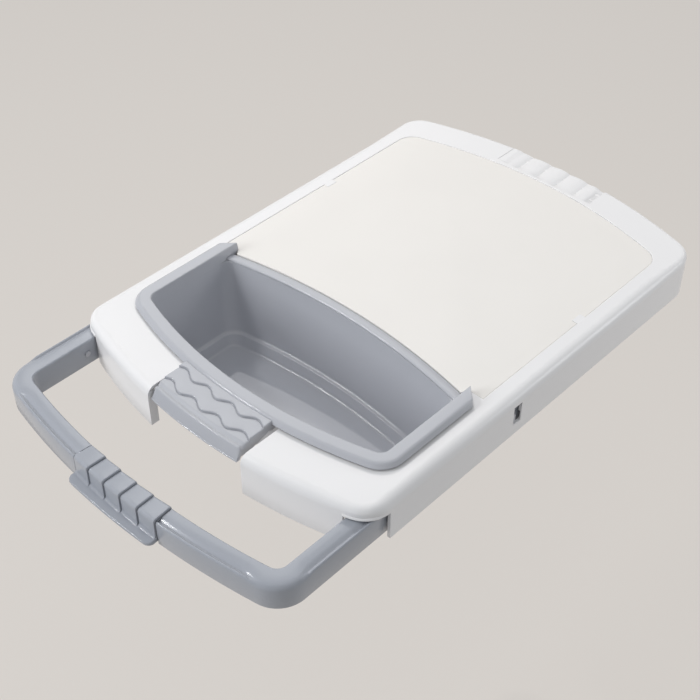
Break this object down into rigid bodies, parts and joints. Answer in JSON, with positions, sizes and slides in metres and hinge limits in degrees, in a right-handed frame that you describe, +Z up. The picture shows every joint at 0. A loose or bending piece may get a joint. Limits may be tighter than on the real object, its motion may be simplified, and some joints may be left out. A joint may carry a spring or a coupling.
{
  "type": "over-the-sink cutting board",
  "caption": "Over-the-sink cutting board with a bowed white deck, inset cutting panel, lift-out grey tray with a wavy pull, and a U-shaped handle that slides out at the front.",
  "frame": {"origin": "centre of the underside of the rubber rest strip under the board's rear edge, on the counter", "axes": "+X to the right seen from the handle, +Y to the rear along the board, +Z up"},
  "size_m": [0.255, 0.4345, 0.0678],
  "materials": {
    "white_plastic": "satin white moulding",
    "panel_plastic": "fine matte cream",
    "grey_plastic": "glossy cool grey moulding",
    "dark_plastic": "matte dark grey moulding",
    "spring_steel": "plain steel",
    "soft_rubber": "soft grey rubber"
  },
  "bodies": {
    "board": {"board_shell": "white_plastic", "cutting_panel": "panel_plastic", "rear_grip": "white_plastic", "rest_strip": "soft_rubber", "left_arm_rail": "white_plastic", "right_arm_rail": "white_plastic", "rail_screws": "spring_steel"},
    "tray": {"tray_bin": "grey_plastic", "tray_pull": "grey_plastic", "pull_screws": "spring_steel"},
    "handle": {"handle_bow": "grey_plastic", "handle_grip": "grey_plastic", "left_handle_foot": "soft_rubber", "right_handle_foot": "soft_rubber", "left_stop_pin": "grey_plastic", "right_stop_pin": "grey_plastic", "left_catch_spring": "spring_steel", "right_catch_spring": "spring_steel", "left_catch_cover": "dark_plastic", "right_catch_cover": "dark_plastic"},
    "left_catch": {"left_catch": "grey_plastic"},
    "right_catch": {"right_catch": "grey_plastic"}
  },
  "joints": [
    {"name": "handle_slide", "type": "slide", "parent": "board", "child": "handle", "axis": [0, 1, 0], "range_m": [0, 0.0406]},
    {"name": "tray_lift", "type": "slide", "parent": "board", "child": "tray", "axis": [0, 0, 1], "range_m": [0, 0.1]},
    {"name": "left_catch_press", "type": "slide", "parent": "handle", "child": "left_catch", "axis": [1, 0, 0], "range_m": [0, 0.002], "stiffness_N_per_m": 1000, "springref_m": -0.001, "deforming": ["left_catch_spring"]},
    {"name": "right_catch_press", "type": "slide", "parent": "handle", "child": "right_catch", "axis": [-1, 0, 0], "range_m": [0, 0.002], "stiffness_N_per_m": 1000, "springref_m": -0.001, "deforming": ["right_catch_spring"]}
  ]
}
